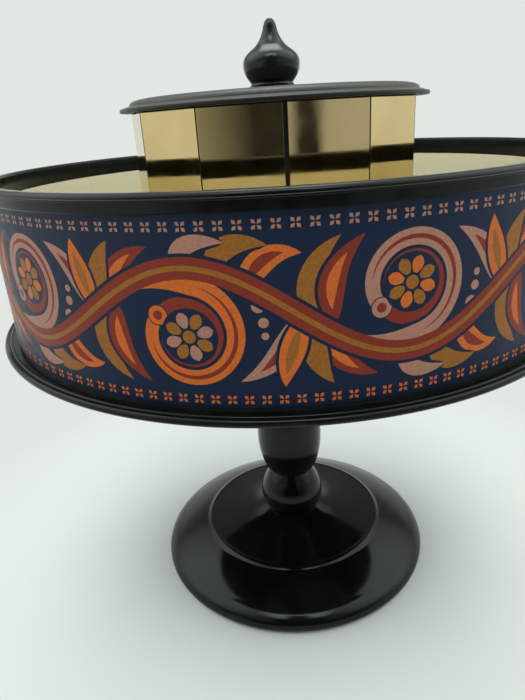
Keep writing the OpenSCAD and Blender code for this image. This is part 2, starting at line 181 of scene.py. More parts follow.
def graded(made, source, low, high, start=0.35, stop=0.65):
    """A number that runs from low to high while the source runs from start to stop."""
    ramp = add(made, "ShaderNodeMapRange", From_Min=start, From_Max=stop, To_Min=low, To_Max=high)
    join(made, source, ramp.inputs["Value"])
    return ramp.outputs["Result"]


def gloss(made, source, low, high):
    """Roughness between low and high."""
    join(made, graded(made, source, low, high), shader_of(made).inputs["Roughness"])


def tint(made, source, dark, light):
    """Base colour between two colours."""
    blend = made.node_tree.nodes.new("ShaderNodeMix")
    blend.data_type = "RGBA"
    blend.inputs["A"].default_value = (*dark, 1)
    blend.inputs["B"].default_value = (*light, 1)
    join(made, graded(made, source, 0, 1), blend.inputs["Factor"])
    join(made, blend.outputs["Result"], shader_of(made).inputs["Base Color"])


def relief(made, source, depth, strength=1.0):
    """Bump: the surface rises by depth millimetres where the source is high."""
    bump = add(made, "ShaderNodeBump", Strength=strength, Distance=depth * MM)
    join(made, source, bump.inputs["Height"])
    normal = shader_of(made).inputs["Normal"]
    if normal.is_linked:
        join(made, normal.links[0].from_socket, bump.inputs["Normal"])
    join(made, bump.outputs["Normal"], normal)


# %% [markdown]
# Dust shows first on black gloss. It is a field of cells, each with one speck whose size is left to
# chance by a second noise, so that most cells stay clean. The specks are drawn over the base colour.

# %% Dust for black surfaces
def dusted(made, spacing, size, colour):
    """Fine specks, spacing millimetres apart and at most size across, over the base colour."""
    place = add(made, "ShaderNodeTexCoord")
    cells = add(made, "ShaderNodeTexVoronoi", Scale=1 / (spacing * MM))
    join(made, place.outputs["Object"], cells.inputs["Vector"])
    chance = graded(made, grain(made, spacing * 2), 0, size / 2 / spacing, 0.5, 0.75)
    speck = made.node_tree.nodes.new("ShaderNodeMath")
    speck.operation = "LESS_THAN"
    join(made, cells.outputs["Distance"], speck.inputs[0])
    join(made, chance, speck.inputs[1])
    over = made.node_tree.nodes.new("ShaderNodeMix")
    over.data_type = "RGBA"
    base = shader_of(made).inputs["Base Color"]
    join(made, base.links[0].from_socket, over.inputs["A"])
    over.inputs["B"].default_value = (*colour, 1)
    join(made, speck.outputs["Value"], over.inputs["Factor"])
    join(made, over.outputs["Result"], base)


# %% [markdown]
# The stand wears high-gloss black lacquer: nearly black, very smooth, with the faint orange peel that a
# sprayed coat keeps. The finial's black is lifted a little towards grey as painted glare. The lid's coat is
# rubbed down to satin, and its edge takes a darker copy of that satin as painted shade. The drum's mouldings
# lie between gloss and satin. The differences are in the roughness and the relief more than in the colour.

# %% Black finishes
def gloss_lacquer():
    made = new_finish("gloss_lacquer", IOR=1.34, Specular_Tint=(0.87, 1, 0.95, 1))
    tint(made, grain(made, 14), (0.0015, 0.002, 0.0018), (0.004, 0.005, 0.0046))
    gloss(made, grain(made, 6, 5), 0.09, 0.14)
    relief(made, grain(made, 3.2, 2), 0.02, 0.12)
    dusted(made, 5.5, 0.3, (0.16, 0.17, 0.17))
    return made


# The finial's black is lifted a little towards grey: painted glare, the haze that lightens a small dark thing
# against a bright ground.
def finial_lacquer_with_painted_glare():
    made = new_finish("finial_lacquer_with_painted_glare", IOR=1.38, Specular_Tint=(0.87, 1, 0.95, 1))
    tint(made, grain(made, 8), (0.005, 0.0062, 0.0056), (0.009, 0.0106, 0.0098))
    gloss(made, grain(made, 4, 5), 0.1, 0.16)
    relief(made, grain(made, 2.4, 2), 0.02, 0.12)
    dusted(made, 4.5, 0.3, (0.16, 0.17, 0.17))
    return made


def satin_lacquer(name, dark, light):
    made = new_finish(name, IOR=1.42)
    tint(made, grain(made, 1.1, 5), dark, light)
    gloss(made, grain(made, 2.2, 6), 0.36, 0.44)
    relief(made, grain(made, 0.5, 4), 0.03, 0.35)
    dusted(made, 4, 0.28, (0.22, 0.23, 0.22))
    return made


def black_moulding():
    made = new_finish("black_moulding", IOR=1.32, Specular_Tint=(0.9, 1, 0.96, 1))
    tint(made, grain(made, 11), (0.0016, 0.0022, 0.0019), (0.0042, 0.005, 0.0046))
    gloss(made, grain(made, 4, 5), 0.13, 0.21)
    relief(made, grain(made, 0.9, 3), 0.015, 0.3)
    dusted(made, 4.5, 0.3, (0.2, 0.21, 0.21))
    return made


def matt_black():
    made = new_finish("matt_black", IOR=1.45)
    tint(made, grain(made, 6), (0.006, 0.006, 0.006), (0.014, 0.014, 0.014))
    gloss(made, grain(made, 1.5), 0.5, 0.62)
    relief(made, grain(made, 0.4), 0.03, 0.4)
    return made


lacquer = gloss_lacquer()
finial_black = finial_lacquer_with_painted_glare()
lid_satin = satin_lacquer("satin_lacquer", (0.033, 0.0368, 0.034), (0.0437, 0.0485, 0.0448))
# The second satin is the lid's own black made darker: painted shade for the lip's edge, which faces the dark
# side of the room.
lid_shaded_edge = satin_lacquer("satin_painted_shade", (0.005, 0.0057, 0.005), (0.0075, 0.0085, 0.0075))
moulding = black_moulding()
core_black = matt_black()
print("black finishes:", [f.name for f in (lacquer, finial_black, lid_satin, lid_shaded_edge, moulding, core_black)])

# %% [markdown]
# The foot is one wide turning: a rounded edge, a slope up to a thin ridge ring, and a cone that sweeps up
# to the neck. From below it has the recess for the felt and the pocket for the nut, so the spun outline
# goes round those too. Black gloss shows its form only in what it reflects, so the curves are cut finely.

# %% The foot
spindle_hole, neck_r = 4.1, 12.6


def foot_outline():
    low, top, edge_r = low_of("base_foot"), top_of("base_foot"), reach("base_foot")
    felt_r, felt_top = reach("felt_pad") + 0.1, top_of("felt_pad")
    pocket_r, pocket_top = reach("tie_washer") + 0.4, top_of("tie_washer")
    ridge_r = edge_r - 22.3
    under = (edge_r - 3, low)
    edge = (edge_r, low + 2.5)
    shoulder = (edge_r - 5.4, low + 8.5)
    ridge = (ridge_r, low + 16.1)
    ridge_side = (ridge_r + 1.6, ridge[1] - 1.1)
    cone_foot = (ridge_r - 1.6, ridge[1] - 0.05)
    neck = (neck_r, top)
    cone = (cone_foot[0] + 0.68 * (neck[0] - cone_foot[0]), cone_foot[1] + 0.44 * (neck[1] - cone_foot[1]))
    return [(spindle_hole, pocket_top), (pocket_r, pocket_top), (pocket_r, felt_top), (felt_r, felt_top),
            (felt_r, low), under,
            *bow(under, edge, (0.66, 0), (1, 0.4), 8),
            *bow(edge, shoulder, (0, 0.45), (0.5, 0.78), 18),
            *bow(shoulder, ridge_side, (0.28, 0.38), (0.64, 0.74), 18),
            *bow(ridge_side, ridge, (0.32, 0.4), (0.78, 0.98), 8),
            *bow(ridge, cone_foot, (0.3, 0), (0.7, 0.5), 8),
            *bow(cone_foot, cone, (0.33, 0.2), (0.68, 0.42), 20),
            *bow(cone, neck, (0.33, 0.2), (0.7, 0.66), 16),
            (spindle_hole, top)]


piece("turned_foot", turned(foot_outline()), [lacquer], "stand", ["base_foot"])

# %% [markdown]
# The collar bead and the vase-shaped column are two more turnings on the same rod. They stay two pieces,
# as on the real stand, because the dark line between them is a true joint.

# %% The collar and the column
joint_r = 9.8


def collar_outline():
    low, top, belly_r = low_of("collar_bead"), top_of("collar_bead"), reach("collar_bead")
    neck = (neck_r, low)
    belly = (belly_r, low + 5.8)
    shoulder = (joint_r, top)
    return [(spindle_hole, low), neck, *bow(neck, belly, (0.7, 0.1), (1, 0.5)),
            *bow(belly, shoulder, (0, 0.42), (0.72, 0.84), 20), (spindle_hole, top)]


def column_outline():
    low, top, belly_r = low_of("column"), top_of("column"), reach("column")
    heel = (joint_r, low)
    belly = (belly_r, low + 18.8)
    waist = (9.5, top - 11)
    cove = (10.9, top - 8)
    head = (14, top - 4)
    lip = (12.4, top)
    return [(spindle_hole, low), heel, *bow(heel, belly, (0.45, 0.05), (1, 0.5), 24),
            *bow(belly, waist, (0, 0.4), (1, 0.55), 24), *bow(waist, cove, (0, 0.53), (0.43, 0.73), 6),
            *bow(cove, head, (1, 0.1), (1, 0.35), 10), *bow(head, lip, (0, 0.6), (0.25, 1), 10),
            (spindle_hole, top)]


piece("turned_collar", turned(collar_outline()), [lacquer], "stand", ["collar_bead"])
piece("turned_column", turned(column_outline()), [lacquer], "stand", ["column"])

# %% [markdown]
# The drum's tray is a thin moulded disc. What shows of it is the flange: a rounded edge, a fine line and a
# bead just outside the wall. The floor is grooved where the wall stands in it.

# %% The tray
wall_t, slip, bead_h = 0.8, 0.1, 0.25
wall_out = reach("drum_wall")
wall_in = wall_out - wall_t
print_r = reach("printed_wrap")


def tray_outline():
    low, floor, edge_r = low_of("drum_tray"), low_of("picture_strip"), reach("drum_tray")
    hole = 10.17
    groove = low_of("drum_wall")
    bead_in = (print_r + 2, floor)
    line = (bead_in[0] + 1.2, floor - 0.5)
    bead = ((bead_in[0] + line[0]) / 2, floor + bead_h)
    edge_round = 1.1
    edge_x = edge_r - edge_round
    return [(hole, low), *arc((edge_x, low + edge_round), edge_round, -90, 0),
            *arc((edge_x, floor - edge_round), edge_round, 0, 70), line,
            *bow(line, bead, (0, 0.6), (0.4, 1), 6), *bow(bead, bead_in, (0.6, 0), (1, 0.4), 6),
            (wall_out + slip, floor), (wall_out + slip, groove), (wall_in - slip, groove),
            (wall_in - slip, floor), (hole, floor)]


piece("moulded_tray", turned(tray_outline(), steps=256), [moulding], "rotor", ["drum_tray"])

# %% [markdown]
# The rim ring is a channel that is pushed down on the wall's top edge. Its outer skirt hides the edge of
# the print, a fine bead runs round it near the top, and the lip is rolled over to the inside.

# %% The rim ring
def rim_outline():
    low, top, edge_r = low_of("rim_ring"), top_of("rim_ring"), reach("rim_ring")
    channel_w, skirt_h, cap_h = 3.92, 5, 2
    inner, side = edge_r - channel_w, edge_r - bead_h
    skirt, groove = top - skirt_h, top - cap_h
    bead_low, bead, bead_top = (side, top - 2.2), (edge_r, top - 1.8), (side, top - 1.4)
    lip_out, lip_in, corner = 1.5, 1.0, 0.3
    return [(inner, low), (wall_in - slip, low), (wall_in - slip, groove), (print_r + slip, groove),
            (print_r + slip, skirt), (side - corner, skirt), (side, skirt + corner), bead_low,
            *bow(bead_low, bead, (0.8, 0.2), (1, 0.6), 5), *bow(bead, bead_top, (0, 0.4), (0.2, 0.8), 5),
            *arc((side - lip_out, top - lip_out), lip_out, 10, 90),
            *arc((inner + lip_in, top - lip_in), lip_in, 90, 180)]


piece("rim_channel", turned(rim_outline(), steps=256), [moulding], "rotor", ["rim_ring"])

# %% [markdown]
# The lid is a satin disc with a thin, tapered lip and a low, rounded crown; its plug drops into the
# prism. The finial is an onion with a drawn-out tip. Its outline starts and ends on the axis, so it is
# left open and the poles close.

# %% The lid and its finial
lip_w = 0.4


def lid_outline():
    low, top, edge_r = low_of("lid"), top_of("lid"), reach("lid")
    seat_z = top_of("prism_core")
    lip_z = seat_z + 2
    crown_r = edge_r - 3.6
    lip_low = (edge_r - lip_w, seat_z)
    lip_mid = (edge_r, seat_z + 0.65)
    lip_top = (edge_r - lip_w, seat_z + 1.3)
    lip_end = (crown_r + 0.7, lip_z)
    crown_foot = (crown_r, lip_z + 0.2)
    crown = (crown_r - 4.2, lip_z + 2.3)
    finial_seat = (9.8, top)
    plug_r, hole = 49.17, 2.1
    pocket_r, pocket_z = reach("finial_washer") + slip, top_of("finial_washer")
    return [(hole, pocket_z), (pocket_r, pocket_z), (pocket_r, low), (plug_r, low), (plug_r, seat_z), lip_low,
            *bow(lip_low, lip_mid, (0.9, 0.05), (1, 0.3), 8),
            *bow(lip_mid, lip_top, (0, 0.7), (0.1, 0.95), 8),
            *bow(lip_top, lip_end, (0.35, 0.3), (0.7, 0.8), 6), crown_foot,
            *bow(crown_foot, crown, (0.05, 0.65), (0.38, 0.87), 12),
            *bow(crown, finial_seat, (0.26, 0.5), (0.67, 1), 16), (hole, top)]


# Faces outside the lip's inner line take the darker satin, as painted shade on the edge.
def lid_shape():
    shape = turned(lid_outline())
    shaded_edge_from = (reach("lid") - lip_w) * MM
    for face in shape.faces:
        face.material_index = 1 if face.calc_center_median().xy.length > shaded_edge_from else 0
    return shape


def finial_outline():
    low, top, bulb_r = low_of("finial"), top_of("finial"), reach("finial")
    heel, neck, bulb = (9.8, low), (8.05, low + 2.4), (bulb_r, low + 8.9)
    throat, tip, point = (5, top - 8.2), (2.45, top - 2.7), (0, top)
    bore, bore_top = 2.02, low + 9
    return [(0, bore_top), (bore, bore_top), (bore, low), heel, *bow(heel, neck, (0, 0.36), (1, 0.57), 8),
            *bow(neck, bulb, (0.22, 0.19), (1, 0.37), 16), *bow(bulb, throat, (0, 0.55), (0.76, 0.7), 20),
            *bow(throat, tip, (0.66, 0.34), (0.93, 0.83), 14), *bow(tip, point, (0.26, 0.78), (0.57, 1), 10)]


piece("turned_lid", lid_shape(), [lid_satin, lid_shaded_edge], "lid", ["lid"])
piece("turned_finial", turned(finial_outline(), closed=False, steps=96), [finial_black], "lid",
      ["finial"])

# %% [markdown]
# The mirrors are gold-tinted acrylic, sawn square and glued to the core. Acrylic is never quite flat, so
# a slow ripple bends the reflections, and the sawn edges are dark amber.

# %% Mirror finishes
def gold_mirror():
    made = new_finish("gold_mirror", Metallic=1.0)
    tint(made, grain(made, 30), (0.68, 0.505, 0.235), (0.76, 0.59, 0.3))
    gloss(made, grain(made, 9, 6), 0.03, 0.075)
    relief(made, grain(made, 16, 1), 0.05, 0.25)
    relief(made, grain(made, 2.6, 2), 0.006, 0.3)
    return made


def sawn_acrylic():
    made = new_finish("sawn_acrylic", IOR=1.49)
    tint(made, grain(made, 2), (0.02, 0.013, 0.006), (0.05, 0.032, 0.014))
    gloss(made, grain(made, 0.7), 0.25, 0.45)
    relief(made, grain(made, 0.3, 2, (1, 1, 0.1)), 0.02, 0.5)
    return made


mirror_face, mirror_edge = gold_mirror(), sawn_acrylic()

# %% [markdown]
# Each plate is a copy of its solid with the triangles dissolved into plain faces and the edges broken by
# a fine bevel that catches the light. A face that looks outwards is mirror; all others take the sawn
# finish.

# %% The mirrors
def softened(node, bevel):
    """A copy of a solid with clean faces and bevelled edges."""
    shape = bmesh.new()
    shape.from_mesh(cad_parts[node].data)
    bmesh.ops.remove_doubles(shape, verts=shape.verts, dist=WELD)
    bmesh.ops.dissolve_limit(shape, angle_limit=math.radians(0.5), verts=shape.verts, edges=shape.edges)
    sharp = [e for e in shape.edges if e.calc_face_angle(0) > math.radians(40)]
    bmesh.ops.bevel(shape, geom=sharp, offset=bevel * MM, offset_type="OFFSET", affect="EDGES", segments=2,
                    profile=0.5, material=-1, clamp_overlap=True)
    return shape


def mirror_plate(node):
    shape = softened(node, 0.12)
    for face in shape.faces:
        centre = face.calc_center_median()
        outward = Vector((centre.x, centre.y, 0)).normalized()
        face.material_index = 0 if face.normal.dot(outward) > 0.6 else 1
    return piece(node.replace("mirror", "mirror_plate"), shape, [mirror_face, mirror_edge], "rotor",
                 [node], crease=20)


mirrors = [mirror_plate(f"mirror_{i:02d}") for i in range(1, 13)]
print("mirrors:", len(mirrors))

# %% [markdown]
# The printed wrap is a paper sheet with a satin film. Its old scroll pattern is a running stem with
# spiral shoots, rosettes and leaves between two rows of small flowers, in five flat inks. A texture would
# blur at the edges of the inks, so the sheet itself is cut into ink fields by a constrained triangulation
# and each field takes its ink's material. The shapes are drawn flat, in millimetres, and later shapes lie
# over earlier ones.

# %% Drawing tools for the print
GAP = 0.9


def ribbon(path, half):
    """A closed outline that keeps half(t) to each side of a path; t runs from 0 to 1 along it."""
    left, right = [], []
    for i, point in enumerate(path):
        before, after = path[max(i - 1, 0)], path[min(i + 1, len(path) - 1)]
        along = (Vector(after) - Vector(before)).normalized()
        side = Vector((-along.y, along.x)) * half(i / (len(path) - 1))
        left.append(tuple(Vector(point) + side))
        right.append(tuple(Vector(point) - side))
    return left + right[::-1]


def swelling(t, belly):
    """The width of a leaf along its length: pointed at both ends."""
    return math.sin(math.pi * t ** belly) ** 0.85 if 0 < t < 1 else 0.0


def leaf(shapes, ink, ends, handles, width, heart=None):
    """A leaf with a navy outline and, where an ink is named, a smaller leaf at its heart."""
    path = [ends[0], *bow(ends[0], ends[1], *handles)]

    def half(t):
        return width / 2 * swelling(t, 0.75)

    shapes.append(("navy", ribbon(path, lambda t: half(t) + GAP * swelling(t, 0.9) ** 0.3)))
    shapes.append((ink, ribbon(path, half)))
    if heart:
        shapes.append((heart, ribbon(path[2:-3], lambda t: width * 0.21 * swelling(t, 0.9))))


def disc(centre, radius, n=18):
    return arc(centre, radius, 0, 360 - 360 / n, n - 1)


def rosette(shapes, centre, radius, inks, petals=8):
    """A flower of petals in alternating inks, on a navy disc."""
    shapes.append(("navy", disc(centre, radius + GAP, 28)))
    for i in range(petals):
        turn = math.tau * i / petals + 0.3
        out = Vector((math.cos(turn), math.sin(turn)))
        path = [tuple(Vector(centre) + out * radius * (0.3 + 0.7 * k / 8)) for k in range(9)]
        petal = ribbon(path, lambda t: radius * 0.235 * swelling(t, 1.25) ** 0.7)
        shapes.append((inks[i % len(inks)], petal))
    shapes.append(("navy", disc(centre, radius * 0.36)))
    shapes.append((inks[1], disc(centre, radius * 0.26)))


# %% [markdown]
# One half wave of the scroll: the stem rises and falls once, a shoot leaves it and rolls up round a
# rosette, and leaves fill what is left. The other half is the same, turned upside down, so the stem runs
# on as a wave.

# %% One half wave of the scroll
WAVES = 6
half_wave_w = math.pi * print_r / WAVES


def scroll_shapes(shoot_ink, petal_ink):
    """Ink and outline of each shape of a half wave, the lowest first; v starts at the stem's middle."""
    shapes, w = [], half_wave_w
    stem = [(w * k / 40, 12.4 * math.sin(math.pi * k / 40)) for k in range(-2, 43)]
    eye = (w / 2, -5.2)

    def shoot(k):
        turn = 150 - 365 * k / 60
        radius = 9.4 + 4.2 * max((turn + 215) / 305, 0) ** 0.8 + 6.9 * (max(turn - 84, 0) / 66) ** 2
        angle = math.radians(turn)
        return (eye[0] + radius * math.cos(angle), eye[1] + radius * math.sin(angle))

    spiral = [shoot(k) for k in range(61)]
    bend_left, bend_right = ((0.12, 0.4), (0.42, 0.8)), ((0.2, 0.42), (0.45, 0.88))
    leaf(shapes, "pink", ((0, 0), (-15.5, 17.6)), bend_left, 6.2, "rust")
    leaf(shapes, "rust", ((4, 2), (20, 17.6)), bend_right, 6.4, "orange")
    leaf(shapes, "ochre", ((2, 1), (8.5, 19)), ((0.15, 0.39), (0.3, 0.72)), 6.4)
    leaf(shapes, "orange", ((1, 0), (-4, 19.2)), ((0.4, 0.42), (1, 0.73)), 6.4, "ochre")
    leaf(shapes, "orange", ((w * 0.78, 6), (w * 1.02, 15.2)), ((0.04, 0.76), (0.5, 1.2)), 6.4, "rust")
    leaf(shapes, "ochre", ((w * 0.63, 11), (w * 0.88, 17.4)), ((0.04, 1), (0.52, 1.34)), 5.6)
    leaf(shapes, "pink", ((w * 0.47, 12), (w * 0.7, 18.4)), ((0, 1), (0.48, 1.2)), 4.6)
    leaf(shapes, "ochre", ((3.5, 2), (10.5, -18.8)), ((-0.36, 0.38), (-0.07, 0.77)), 6)
    leaf(shapes, "rust", ((9, 3), (16.5, -18.8)), ((-0.33, 0.41), (-0.13, 0.69)), 6.6, "orange")
    for u, v, radius in ((0.825, 2.6, 1.7), (0.845, -1.7, 1.35), (0.85, -5.2, 1)):
        shapes.append(("pink", disc((w * u, v), radius, 14)))
    shapes.append(("navy", ribbon(stem, lambda t: 2.8 + GAP)))
    shapes.append(("rust", disc(eye, 10.6, 48)))
    shapes.append(("navy", ribbon(spiral, lambda t: 2.7 - 0.9 * t + GAP)))
    shapes.append((shoot_ink, ribbon(spiral, lambda t: min(2.7, 0.5 + 12 * t) - 0.9 * t)))
    for ink, radius in (("navy", 2.9), (shoot_ink, 2.6), ("rust", 1.3)):
        shapes.append((ink, disc(spiral[-1], radius)))
    shapes.append(("rust", ribbon(spiral[12:-7], lambda t: 0.6 * swelling(t, 1))))
    shapes.append(("rust", ribbon(stem, lambda t: 2.8)))
    shapes.append(("ochre", ribbon(stem, lambda t: 0.7)))
    rosette(shapes, (eye[0] + 0.3, eye[1] - 0.2), 6.8, (petal_ink, "ochre"))
    return shapes


# %% [markdown]
# The whole wave: two half waves, with shoots in orange and pink by turns, and with their neighbours on
# both sides so that nothing is cut short at the ends. Two rows of small four-petalled flowers run along
# the edges of the sheet.

# %% One wave of the print
wrap_low, wrap_top = low_of("printed_wrap"), top_of("printed_wrap")
wave_w = 2 * half_wave_w
scroll_middle = 25.15
flower_rows = ((47.5, "pink"), (2.3, "orange"))
flowers_per_wave = 25


def small_flower(centre, ink, radius=1.5):
    petals = []
    for i in range(4):
        turn = math.pi * (i / 2 + 0.25)
        out = Vector((math.cos(turn), math.sin(turn)))
        side = Vector((-out.y, out.x)) * radius * 0.34
        heel, middle, tip = (Vector(centre) + out * far for far in (0.22, radius * 0.7, radius * 1.15))
        petals.append((ink, [tuple(p) for p in (heel, middle + side, tip, middle - side)]))
    return petals


def wave_shapes():
    shapes = []
    for k in range(-1, 3):
        flip = -1 if k % 2 else 1
        pair = ("pink", "orange") if k % 2 else ("orange", "pink")
        for ink, outline in scroll_shapes(*pair):
            shapes.append((ink, [(u + k * half_wave_w, scroll_middle + flip * v) for u, v in outline]))
    for level, ink in flower_rows:
        for i in range(flowers_per_wave):
            shapes += small_flower(((i + 0.5) * wave_w / flowers_per_wave, level), ink)
    return shapes


# %% [markdown]
# Cutting the sheet. The triangulation takes every outline at once and says, for each triangle, which
# outlines hold it; the last of them is the ink that shows. Upright cuts a few millimetres apart let the
# sheet bend smoothly.

# %% Cut a flat sheet into ink fields
def inlaid(shapes, ground, inks, width, height, columns):
    """A flat bmesh, in millimetres, whose faces take the ink of the topmost shape."""
    layers = [(ground, [(0, 0), (width, 0), (width, height), (0, height)]), *shapes]
    points, outlines, cuts = [], [], []
    for _, outline in layers:
        area = sum(a[0] * b[1] - b[0] * a[1] for a, b in zip(outline, outline[1:] + outline[:1]))
        outline = outline if area > 0 else outline[::-1]
        outlines.append(list(range(len(points), len(points) + len(outline))))
        points += [Vector(p) for p in outline]
    for i in range(columns + 1):
        cuts.append((len(points), len(points) + 1))
        points += [Vector((width * i / columns, 0)), Vector((width * i / columns, height))]
    places, _, triangles, _, _, holders = geometry.delaunay_2d_cdt(points, cuts, outlines, 0, 1e-5, True)
    sheet = bmesh.new()
    corners = [sheet.verts.new((p.x, p.y, 0)) for p in places]
    for triangle, held in zip(triangles, holders):
        centre = sum((places[i] for i in triangle), Vector((0, 0))) / 3
        if held and 0 < centre.x < width and 0 < centre.y < height:
            face = sheet.faces.new([corners[i] for i in triangle])
            face.material_index = inks.index(layers[max(held)][0])
    loose = [v for v in sheet.verts if not v.link_faces]
    bmesh.ops.delete(sheet, geom=loose, context="VERTS")
    return sheet


def rolled(sheet, radius_at, start, low):
    """Bends a flat sheet round the axis: u runs round from the start angle, and v runs up from a level."""
    for vert in sheet.verts:
        u, v, _ = vert.co
        radius = radius_at(u)
        turn = start + u / radius
        vert.co = Vector((radius * math.cos(turn), radius * math.sin(turn), low + v)) * MM


# %% [markdown]
# Inks on laminated paper. Each ink is a little uneven, as offset print is, and all share the film's satin
# gloss and the paper's faint texture under it.

# %% The inks
INKS = {
    "navy": (0.0035, 0.0122, 0.038),
    "rust": (0.185, 0.022, 0.0105),
    "orange": (0.5, 0.11, 0.0135),
    "ochre": (0.255, 0.095, 0.0115),
    "pink": (0.335, 0.162, 0.116),
}


def printed(name, colour):
    made = new_finish("ink_" + name, IOR=1.3)
    tint(made, grain(made, 0.7, 4), [c * 0.86 for c in colour], [c * 1.08 for c in colour])
    gloss(made, grain(made, 3, 5), 0.34, 0.44)
    relief(made, grain(made, 1.3, 3), 0.012, 0.35)
    return made


inks = [printed(name, colour) for name, colour in INKS.items()]
print("inks:", [ink.name for ink in inks])

# %% [markdown]
# One wave is rolled up, then copied round with duplicate and rotate, which keeps the cutting short. Last,
# the sheet gets its thickness: its two edges are drawn inwards and bridged, so it is a closed sleeve.

# %% The printed wrap
print_start, paper_t, columns_per_wave = math.radians(-118), 0.3, 30


def repeated(shape, count):
    """Copies all of a shape round the axis, so that there are count of it."""
    first = list(shape.verts) + list(shape.edges) + list(shape.faces)
    for i in range(1, count):
        copy = bmesh.ops.duplicate(shape, geom=first)["geom"]
        copied = [v for v in copy if isinstance(v, bmesh.types.BMVert)]
        turn = Matrix.Rotation(math.tau * i / count, 3, "Z")
        bmesh.ops.rotate(shape, verts=copied, cent=(0, 0, 0), matrix=turn)


def sleeve():
    shape = inlaid(wave_shapes(), "navy", list(INKS), wave_w, wrap_top - wrap_low, columns_per_wave)
    rolled(shape, lambda u: print_r, print_start, wrap_low)
    repeated(shape, WAVES)
    bmesh.ops.remove_doubles(shape, verts=shape.verts, dist=4 * WELD)
    rims = [e for e in shape.edges if e.is_boundary]
    drawn = bmesh.ops.extrude_edge_only(shape, edges=rims)["geom"]
    drawn_verts = [v for v in drawn if isinstance(v, bmesh.types.BMVert)]
    drawn_rims = [e for e in drawn if isinstance(e, bmesh.types.BMEdge) and e.is_boundary]
    inner = (print_r - paper_t) / print_r
    bmesh.ops.scale(shape, verts=drawn_verts, vec=(inner, inner, 1))
    bmesh.ops.bridge_loops(shape, edges=drawn_rims)
    bmesh.ops.recalc_face_normals(shape, faces=shape.faces)
    return shape


piece("printed_sleeve", sleeve(), inks, "rotor", ["printed_wrap"])

# %% [markdown]
# The picture strip is cream card, a little longer than the way round, so its ends lap. The pictures are a
# plain bouncing ball in twelve stages, low on the strip's inner side. The strip is cut and rolled as the
# print is, and a solidify gives it the card's thickness.

# %% The picture strip
strip_low, strip_top = low_of("picture_strip"), top_of("picture_strip")
strip_out = reach("picture_strip")
card_t, lap = 0.24, 14
card_r = strip_out - card_t / 2
frames, strip_columns, strip_start = 12, 240, math.radians(70)
ball_r, ball_low, ball_rise = 4.2, 8.2, 17


def card_finish(name, colour):
    made = new_finish(name, IOR=1.4)
    tint(made, grain(made, 0.8, 4), [c * 0.965 for c in colour], [c * 1.02 for c in colour])
    gloss(made, grain(made, 2), 0.66, 0.8)
    relief(made, grain(made, 0.35, 4), 0.03, 0.45)
    return made


def ball_pictures():
    shapes, step = [], math.tau * card_r / frames
    for i in range(frames):
        u = (i + 0.5) * step
        rise = ball_rise * math.sin(math.pi * i / frames)
        flat = 0.72 if i == 0 else 1
        ball = [(u + ball_r * x / flat, ball_low + rise + ball_r * flat * y) for x, y in disc((0, 0), 1, 28)]
        shine = disc((u - 1.4, ball_low + 1.7 + rise), 0.9, 14)
        shadow = [(u + (5 - rise * 0.12) * x, 3.4 + 0.5 * y) for x, y in disc((0, 0), 1, 20)]
        shapes += [("pencil", shadow), ("ball", ball), ("cream", shine)]
    return shapes


cards = {"cream": (0.9, 0.86, 0.63), "ball": (0.42, 0.11, 0.03), "pencil": (0.10, 0.095, 0.085)}


def strip_shape():
    length = math.tau * card_r + lap

    def radius_at(u):
        return card_r - card_t * min(max((u - length + 2 * lap) / lap, 0), 1)

    shape = inlaid(ball_pictures(), "cream", list(cards), length, strip_top - strip_low, strip_columns)
    rolled(shape, radius_at, strip_start, strip_low)
    bmesh.ops.reverse_faces(shape, faces=shape.faces)
    bmesh.ops.solidify(shape, geom=shape.faces, thickness=card_t * MM)
    shape.normal_update()
    for face in shape.faces:
        if face.normal.dot(face.calc_center_median()) > 0:
            face.material_index = 0
    return shape


piece("picture_strip_card", strip_shape(), [card_finish("card_" + n, c) for n, c in cards.items()],
      "strip", ["picture_strip"])

# %% [markdown]
# The wall behind the print is tinplate, rolled into a ring. The solid has flat facets, which would show
# when the strip is out, so the wall is spun again in finer steps.

# %% The drum's wall
def black_tin():
    made = new_finish("black_tin", IOR=1.45)
    tint(made, grain(made, 20), (0.006, 0.0065, 0.0065), (0.013, 0.014, 0.014))
    gloss(made, grain(made, 2, 4, (0.3, 0.3, 3)), 0.32, 0.48)
    relief(made, grain(made, 0.6, 3), 0.02, 0.3)
    return made


def wall_outline():
    low, top = low_of("drum_wall"), top_of("drum_wall")
    return [(wall_in, low), (wall_out, low), (wall_out, top), (wall_in, top)]


piece("tin_wall", turned(wall_outline(), steps=256), [black_tin()], "rotor", ["drum_wall"])

# %% [markdown]
# Most of what is left of the solids is right as it is and keeps its mesh: the core, the bearing, the
# washers and the nut. They only need finishes: matt black for the core, and lathe-turned steel and bronze
# for the metal.

# %% Finishes for the hidden pieces
def turned_metal(name, colour, low, high):
    made = new_finish(name, Metallic=1.0)
    tint(made, grain(made, 3), [c * 0.85 for c in colour], colour)
    gloss(made, grain(made, 0.5, 4, (0.15, 0.15, 2)), low, high)
    relief(made, grain(made, 0.25, 2, (0.1, 0.1, 3)), 0.01, 0.4)
    return made


def repaint(finish, *nodes):
    for node in nodes:
        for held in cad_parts[node].material_slots:
            held.material = finish


steel = turned_metal("zinc_steel", (0.58, 0.59, 0.61), 0.22, 0.4)
bronze = turned_metal("bearing_bronze", (0.52, 0.33, 0.12), 0.25, 0.42)
repaint(steel, "spindle", "tie_washer", "tie_nut", "retaining_washer", "finial_washer")
repaint(bronze, "thrust_washer", "lower_bush", "upper_bush")
repaint(core_black, "prism_core", "core_floor", "hub")

# %% [markdown]
# The screws have low domed heads with a hole for a hexagon key. Head, hole and shank are one spun
# outline, and the hole's two rings are then drawn out to six corners, which a spin alone can't give. Only
# the spindle's screw has its head on top; the others are driven from below, so their outline is turned
# over.

# %% The socket screws
key_r, hub_ring, hub_screw_count = 1.25, 21, 4


